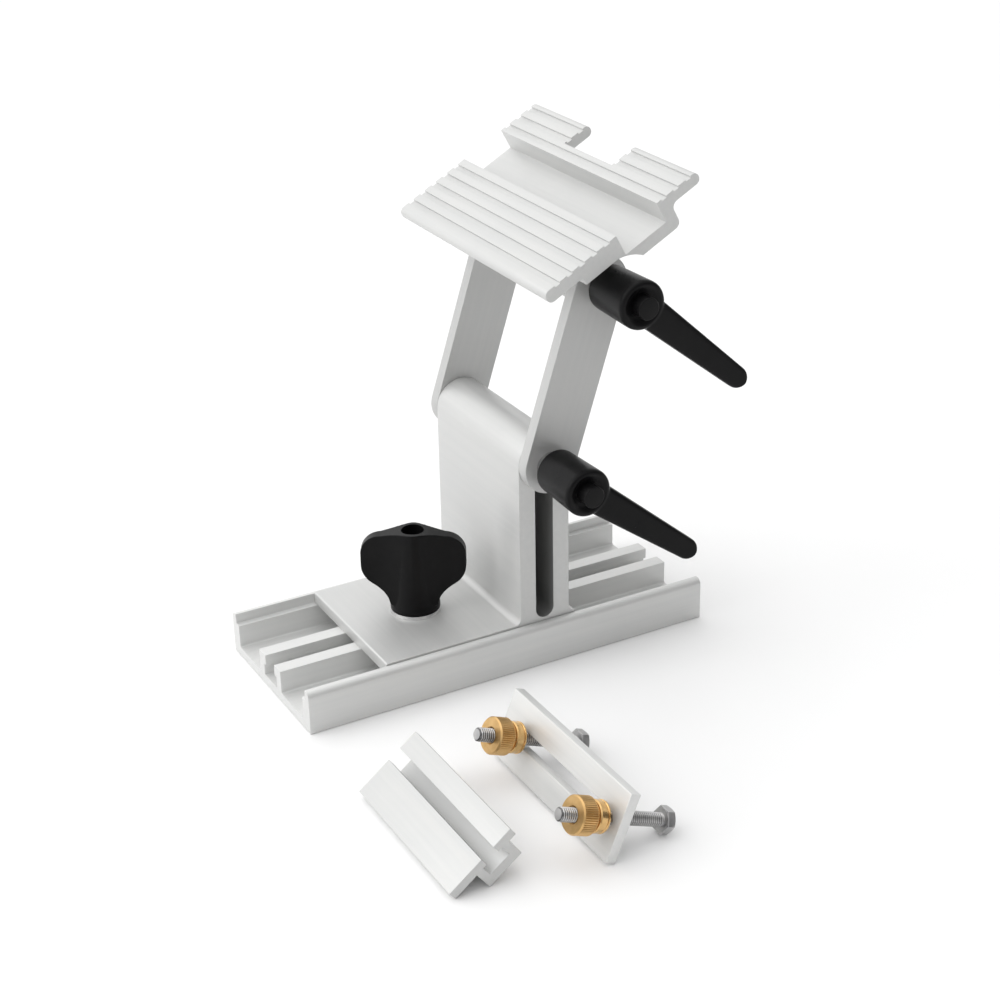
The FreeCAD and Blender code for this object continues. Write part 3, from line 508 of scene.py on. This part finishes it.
def threaded_bar(radius, length, pitch, plain):
    """A bolt's shank from inside its head to its tip, plain first and then threaded."""
    rows = [(0, -BURIED), (radius, -BURIED)]
    if plain:
        rows += [(radius, plain * k / PLAIN_ROWS) for k in range(PLAIN_ROWS + 1)]
    step = pitch / ROWS_PER_PITCH
    count = int((length - plain) / step)
    rows += [(radius, plain + step * k) for k in range(1, count)]
    rows += [(radius, length), (0, length)]
    ripple = thread_ripple(pitch, pitch * THREAD_DEPTH, plain, length)
    return lathe(rows, SHANK_SEGMENTS, ripple)


def hex_head(flats, height):
    """A hexagon head below z = 0: washer face, six flats, and corners turned off."""
    inner = flats / 2
    rim = inner * 0.95  # the washer face
    crown = inner * 0.93  # the circle that the corners are turned off to
    dish = crown * 0.55
    slope = math.tan(math.radians(30))
    face, bevel, dish_depth = 0.25, 0.1, 0.12
    around = 72

    def hex_radius(angle):
        from_flat = (angle + HEX_TURN) % (2 * HEX_TURN) - HEX_TURN
        return inner / math.cos(from_flat)

    def section(angle):
        """(radius, height) points from the seat over the corners to the head's end."""
        wide = hex_radius(angle)
        return [
            (rim, 0.0),
            (rim, -face),
            (wide - bevel, -face),
            (wide, -face - bevel),
            (wide, -height + (wide - crown) * slope),
            (crown, -height),
            (dish, -height + dish_depth),
        ]

    bm = bmesh.new()
    angles = [TAU * k / around + HEX_TURN for k in range(around)]
    sections = [section(angle) for angle in angles]
    rings = []
    for level in range(len(sections[0])):
        ring = []
        for angle, points in zip(angles, sections):
            ring.append(bm.verts.new(on_circle(points[level][0], angle, points[level][1])))
        rings.append(ring)
    return lofted(bm, rings)


def bolt(node, body, place, length, plain=0.0, turn=0.0, *, radius, pitch, flats, head):
    """A hexagon bolt in place of its CAD node; place puts its seat and turns +Z to the tip."""
    bm = merged(hex_head(flats, head), threaded_bar(radius, length, pitch, plain))
    # faces deep in the thread's groove take a dark copy of the steel: painted shade in the roots
    root, tip = radius - THREAD_DEPTH * pitch * ROOT_SHARE, length - 0.01
    for face in bm.faces:
        middle = face.calc_center_median() / MM
        if plain < middle.z <= tip and math.hypot(middle.x, middle.y) < root:
            face.material_index = 1
    place = place @ Matrix.Rotation(turn, 4, "Z")
    piece = to_piece(f"{node}_detail", bm, body, STEEL, [node], BOLT_SHARP, place)
    piece.data.materials.append(STEEL_ROOT_SHADE)


PIVOT_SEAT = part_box("lower_back_washer")[1].y / MM
for level, pivot, body in (("lower", LOWER_PIVOT, "pivot"), ("upper", UPPER_PIVOT, "arms")):
    seat = pointed(-Y_AXIS, (pivot.x, PIVOT_SEAT, pivot.z))
    bolt(f"{level}_pivot_bolt", body, seat, length=100.0, plain=66.0, turn=HEX_TURN, **M8)

RAIL_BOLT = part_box("rail_t_bolt")
rail_seat = pointed(Z_AXIS, (KNOB_AXIS.x, 0, RAIL_BOLT[0].z / MM + M8["head"]))
bolt("rail_t_bolt", "carriage", rail_seat, length=40.0, turn=HEX_TURN, **M8)

CLAMP_OUT = Vector(joint("clamp_nut_back_turn")["axis"])
CLAMP_HEAD = 21.5  # from a nut's joint back to its bolt's seat
for end in ("back", "front"):
    pivot = Vector(joint(f"clamp_nut_{end}_turn")["pos_m"]) / MM
    seat = pointed(CLAMP_OUT, pivot - CLAMP_OUT * CLAMP_HEAD)
    bolt(f"clamp_bolt_{end}", f"bolt_{end}", seat, length=50.0, **M6)


# ---------------------------------------------------------------- brass thumb nuts
KNURLS, KNURL_DEPTH, KNURL_STEEPNESS = 54, 0.34, 1.5
KNURL_RADIUS, KNURL_START, KNURL_STEP, KNURL_ROWS = 7.8, 14.95, 0.6, 11
KNURL_END = KNURL_START + KNURL_STEP * (KNURL_ROWS - 1)
BRIGHT_END = 14.1  # the neck and collar before it are brighter than the head


def knurl_ripple(radius, height, angle):
    """Straight knurling on the nut's widest band, and plain turning elsewhere."""
    margin = 0.04
    if radius < KNURL_RADIUS or not KNURL_START - margin < height < KNURL_END + margin:
        return radius
    tooth = abs((angle * KNURLS / TAU) % 1.0 * 2 - 1)
    return radius - KNURL_DEPTH * (1 - min(tooth * KNURL_STEEPNESS, 1.0))


def thumb_nut(end):
    """Stepped collar, bright neck and knurled head, from the plate's side outwards."""
    back, front, bore = 7.9, 21.7, 3.0
    collar = [
        (bore, back + 0.5),
        (bore + 0.5, back),
        (6.35, back),
        (6.7, back + 0.3),
        (6.7, back + 0.9),
        (6.35, back + 1.1),
        (6.35, back + 1.4),
        (6.62, back + 1.7),
        (6.62, back + 4.2),
        (6.2, back + 4.7),
        (5.7, back + 4.8),
        (5.7, back + 6.0),
        (6.4, 14.2),
        (7.2, 14.2),
        (KNURL_RADIUS, KNURL_START - 0.1),
    ]
    knurl = [(KNURL_RADIUS, KNURL_START + KNURL_STEP * k) for k in range(KNURL_ROWS)]
    head = [
        (KNURL_RADIUS, KNURL_END + 0.1),
        (7.25, front),
        (bore + 0.7, front),
        (bore, front - 0.7),
    ]
    points_per_knurl = 6
    bm = lathe(collar + knurl + head, KNURLS * points_per_knurl, knurl_ripple)
    pivot = Vector(joint(f"clamp_nut_{end}_turn")["pos_m"]) / MM
    node, body, place = f"clamp_nut_{end}", f"nut_{end}", pointed(CLAMP_OUT, pivot)
    piece = to_piece(f"{node}_detail", bm, body, BRASS_SATIN, [node], NUT_SHARP, place)
    piece.data.materials.append(BRASS_BRIGHT)
    bright_end = (pivot + CLAMP_OUT * BRIGHT_END) * MM
    for face in piece.data.polygons:
        if (face.center - bright_end).dot(CLAMP_OUT) < 0:
            face.material_index = 1


thumb_nut("back")
thumb_nut("front")


# ---------------------------------------------------------------- wing knob
KNOB_TURN = -31.0  # degrees that the wings stand round from the rail's direction
WING_SPAN, WING_TIP_HALF = 23.75, 2.6
TAPER_FOOT = 7.0  # height below which the wings' root gets no broader
HUB_TOP_DROP = 0.8  # how far the hub ends under the wings' top


def wing_half(reach, height, crown):
    """Half a wing's thickness: broad as the hub at its root, nearly even at its tip."""
    depth = min(max((crown - height) / (crown - TAPER_FOOT), 0.0), 1.0)
    root, spread = 7.5 + 2.7 * depth, 8.5 + 3.0 * depth
    return WING_TIP_HALF + (root - WING_TIP_HALF) * math.exp(-((reach / spread) ** 1.6))


def wing_crown(reach, span, crown):
    """Height of a wing's top edge: a slow fall, then a round corner."""
    corner, fall = 9.2, 2.1
    start = span - corner
    if reach > start:
        return crown - fall - corner + math.sqrt(max(corner**2 - (reach - start) ** 2, 0))
    return crown - fall * (reach / start) ** 1.7


def wing_foot(reach, span):
    """Height of a wing's lower edge: a round corner that sweeps down to the hub's foot."""
    corner, level, hub_reach, hub_level = 10.3, 21.7, 10.9, 3.0
    lean = math.radians(30)
    start = span - corner
    meet = start + corner * math.sin(lean)
    if reach > meet:
        return level - math.sqrt(max(corner**2 - (reach - start) ** 2, 0))
    if reach < hub_reach:
        return hub_level
    rise, run = level - corner * math.cos(lean) - hub_level, meet - hub_reach
    power = math.tan(lean) * run / rise
    return hub_level + rise * ((reach - hub_reach) / run) ** power


def wing(side, span, crown):
    """One wing, lofted outwards through upright sections."""
    bm = bmesh.new()
    count, rows, nearly_all = 72, 12, 0.9995
    rings = []
    for k in range(count + 1):
        reach = span * nearly_all * math.sin(math.pi / 2 * k / count)
        top, foot = wing_crown(reach, span, crown), wing_foot(reach, span)
        heights = [foot + (top - foot) * j / rows for j in range(rows + 1)]
        front = [(wing_half(reach, z, crown), z) for z in heights]
        section = front + [(-half, z) for half, z in reversed(front)]
        rings.append([bm.verts.new((side * reach * MM, y * MM, z * MM)) for y, z in section])
    return lofted(bm, rings)


def wing_knob():
    """Two-wing knob: tapered hub, flat wings that flow into it, and clean bores."""
    low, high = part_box("wing_knob")
    tall = (high.z - low.z) / MM
    crown = tall - 0.1
    hub_top = crown - HUB_TOP_DROP
    hub = [
        (0, -2),
        (11.4, -2),
        (11.35, 2.0),
        (10.7, 3.6),
        (10.2, 7.0),
        (7.4, hub_top),
        (0, hub_top),
    ]
    hub = lathe(rounded(hub, [0, 0.6, 1.2, 2.0, 0.3]), 96)
    wings = [wing(side, WING_SPAN, crown) for side in (1, -1)]
    top_bore = plug(5.15, 15.4, tall + 2, 72)
    foot_bore = plug(6.05, -4.0, 15.5)
    foot_cut = plug(20.0, -6.0, 0.1)
    cutters = [top_bore, foot_bore, foot_cut]
    bm = remeshed([hub, *wings], cutters, voxel=0.27, smoothing=5)
    place = turned(KNOB_TURN, "Z", (KNOB_AXIS.x, 0, low.z / MM))
    node = "wing_knob"
    to_piece(f"{node}_detail", bm, "knob", PLASTIC, [node], MOULDED_SHARP, place)


wing_knob()


# ---------------------------------------------------------------- clamping levers
# distances outwards along the pivot's axis, from Y = 0
HUB_BASE, HUB_FACE = 49.05, 76.3
SPRING_SEAT, BUTTON_BACK, BUTTON_SHELF, BUTTON_FACE = 60.0, 69.6, 71.2, 80.4
# distances from the pivot's axis along the handle, and half its width at the hub and tip
HANDLE_START, HANDLE_ROOT, HANDLE_REACH = 4, 9, 60.7
ROOT_HALF, TIP_HALF = 6.9, 4.8
TO_FRONT = Matrix.Rotation(math.radians(90), 4, "X")


def lever_arm():
    """The handle as sections from the hub to its round tip, leaning outwards."""
    steps, corners, squareness = 24, 28, 0.42
    length = HANDLE_REACH - HANDLE_START
    stations = [HANDLE_START + length * k / steps for k in range(steps + 1)]
    stations += [HANDLE_REACH + TIP_HALF * math.sin(math.radians(a)) for a in range(10, 90, 10)]
    stations.append(HANDLE_REACH + TIP_HALF * 0.997)
    bm = bmesh.new()
    rings = []
    for reach in stations:
        share = min(max((reach - HANDLE_ROOT) / (HANDLE_REACH - HANDLE_ROOT), -0.2), 1.1)
        half = ROOT_HALF + (TIP_HALF - ROOT_HALF) * share
        if reach > HANDLE_REACH:
            half = math.sqrt(max(TIP_HALF**2 - (reach - HANDLE_REACH) ** 2, 0.05))
        back, front = 67.2 + 6.7 * share, 75.9 + 4.4 * share
        middle, thick = (back + front) / 2, (front - back) / 2
        ring = []
        for k in range(corners):
            angle = TAU * k / corners
            c, s = math.cos(angle), math.sin(angle)
            wide = math.copysign(abs(c) ** squareness, c) * half
            deep = math.copysign(abs(s) ** squareness, s) * thick
            ring.append(bm.verts.new((reach * MM, -(middle + deep) * MM, wide * MM)))
        rings.append(ring)
    return lofted(bm, rings)


def lever_handle(level, pivot, angle):
    """Plastic hub and handle fused with a soft root, then dished and bored for the button."""
    base, rim = HUB_BASE + 0.1, HUB_FACE - 0.1  # just inside the CAD hub
    hub = lathe(rounded([(0, base), (10.0, base), (10.8, rim), (0, rim)], [0.5, 2.2], steps=5), 96)
    dish, lip, above = HUB_FACE - 1.9, HUB_FACE + 0.1, HUB_FACE + 6
    recess = [(0, dish), (5.5, dish), (9.1, lip), (9.3, above), (0, above)]
    recess = lathe(rounded(recess, [1.8, 0.2, 0], steps=8), 96)
    front_bore = plug(4.9, 70.0, 80.0)
    back_bore = plug(6.06, 45.0, BUTTON_SHELF + 0.05)
    for solid in (hub, recess, front_bore, back_bore):
        solid.transform(TO_FRONT)
    cutters = [recess, front_bore, back_bore]
    bm = remeshed([hub, lever_arm()], cutters, voxel=0.36, smoothing=7)
    node, body = f"{level}_lever_handle", f"{level}_lever"
    place = turned(angle, "Y", (pivot.x, 0, pivot.z))
    to_piece(f"{node}_detail", bm, body, PLASTIC, [node], MOULDED_SHARP, place)


def lever_button(level, pivot):
    """Push button with a softened rim, over its hidden flange."""
    flange, stem = 5.95, 4.8
    outline = [
        (0, BUTTON_BACK),
        (flange, BUTTON_BACK),
        (flange, BUTTON_SHELF),
        (stem, BUTTON_SHELF),
        (stem, BUTTON_FACE),
        (0, BUTTON_FACE),
    ]
    bm = lathe(rounded(outline, [0.2, 0.2, 0.1, 0.45]), 72)
    node, body = f"{level}_lever_button", f"{level}_button"
    place = turned(90, "X", (pivot.x, 0, pivot.z))
    to_piece(f"{node}_detail", bm, body, PLASTIC, [node], MOULDED_SHARP, place)


def lever_spring(level, pivot):
    """Coil spring behind the button, from its seat to the button's back."""
    start, end = -(SPRING_SEAT + 0.5), -(BUTTON_BACK - 0.5)
    turns, mean, wire, round_steps, steps = 4.0, 4.5, 0.45, 10, 160
    bm = bmesh.new()
    rings = []
    for k in range(steps + 1):
        share = k / steps
        angle = TAU * turns * share
        out = Vector((math.cos(angle), 0, math.sin(angle)))
        middle = Vector((pivot.x, start + (end - start) * share, pivot.z)) + out * mean
        ring = []
        for j in range(round_steps):
            turn = TAU * j / round_steps
            spot = middle + (out * math.cos(turn) + Y_AXIS * math.sin(turn)) * wire
            ring.append(bm.verts.new(spot * MM))
        rings.append(ring)
    node, body = f"{level}_lever_spring", f"{level}_lever"
    piece = to_piece(f"{node}_coil", lofted(bm, rings), body, STEEL, [node], COIL_SHARP)
    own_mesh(piece)


# the degrees that each handle hangs below the X axis at rest
for level, pivot, angle in (("lower", LOWER_PIVOT, 37.8), ("upper", UPPER_PIVOT, 41.2)):
    lever_handle(level, pivot, angle)
    lever_button(level, pivot)
    lever_spring(level, pivot)


# ---------------------------------------------------------------- studio
BRIGHT_SIDE = Vector((-0.35, 0.55, 0.76))  # where most of the daylight comes from


def floor():
    """A wide paper floor that stays just under the object."""
    half, gap = 6.0, 0.0002
    bm = bmesh.new()
    bmesh.ops.create_grid(bm, x_segments=8, y_segments=8, size=half)
    mesh = to_mesh("floor", bm)
    mesh.materials.append(studio_floor())
    sheet = in_scene("floor", mesh)
    sheet.location.z = -gap


def softbox(name, place, target, size, power):
    """A square area light that faces a target."""
    lamp = bpy.data.lights.new(name, "AREA")
    lamp.shape = "SQUARE"
    lamp.size = size
    lamp.energy = power
    holder = in_scene(name, lamp)
    holder.location = place
    aim = Vector(target) - Vector(place)
    holder.rotation_euler = aim.to_track_quat("-Z", "Y").to_euler()


def daylight(low, high):
    """A pale surround, brightest above and behind the object and dimmer in front.

    The backdrop itself is plain white from every side.
    """
    dim_end, bright_end = -0.35, 0.75  # how far a direction faces the bright side
    world = bpy.data.worlds.new("studio")
    world.use_nodes = True
    tree = world.node_tree
    place = tree.nodes.new("ShaderNodeTexCoord")
    facing = tree.nodes.new("ShaderNodeVectorMath")
    facing.operation = "DOT_PRODUCT"
    facing.inputs[1].default_value = BRIGHT_SIDE.normalized()
    level = tree.nodes.new("ShaderNodeMapRange")
    level.inputs["From Min"].default_value = dim_end
    level.inputs["From Max"].default_value = bright_end
    level.inputs["To Min"].default_value = low
    level.inputs["To Max"].default_value = high
    tree.links.new(place.outputs["Generated"], facing.inputs[0])
    tree.links.new(facing.outputs["Value"], level.inputs["Value"])
    seen = tree.nodes.new("ShaderNodeLightPath")
    backdrop = tree.nodes.new("ShaderNodeMix")
    backdrop.inputs["B"].default_value = 1.0
    background = tree.nodes["Background"]
    background.inputs["Color"].default_value = (1, 1, 1, 1)
    tree.links.new(seen.outputs["Is Camera Ray"], backdrop.inputs["Factor"])
    tree.links.new(level.outputs["Result"], backdrop.inputs["A"])
    tree.links.new(backdrop.outputs["Result"], background.inputs["Strength"])
    bpy.context.scene.world = world


def camera():
    """The view: from the front left, a little above the table."""
    data = bpy.data.cameras.new("camera")
    data.sensor_width = 36.0
    data.lens = 71.708
    data.clip_start = 0.01
    holder = in_scene("camera", data)
    holder.location = (-0.37253, -0.71613, 0.46078)
    holder.rotation_euler = Euler([math.radians(a) for a in (64.069, 1.027, -29.061)], "XYZ")
    bpy.context.scene.camera = holder


floor()
daylight(low=0.14, high=1.35)
softbox("overhead", place=(-0.3, 0.5, 1.5), target=(0, 0, 0.05), size=1.4, power=1.5)
softbox("left", place=(-1.3, 0.3, 0.9), target=(0, 0, 0.1), size=1.0, power=4.5)
camera()
bpy.context.scene.view_settings.view_transform = "Standard"
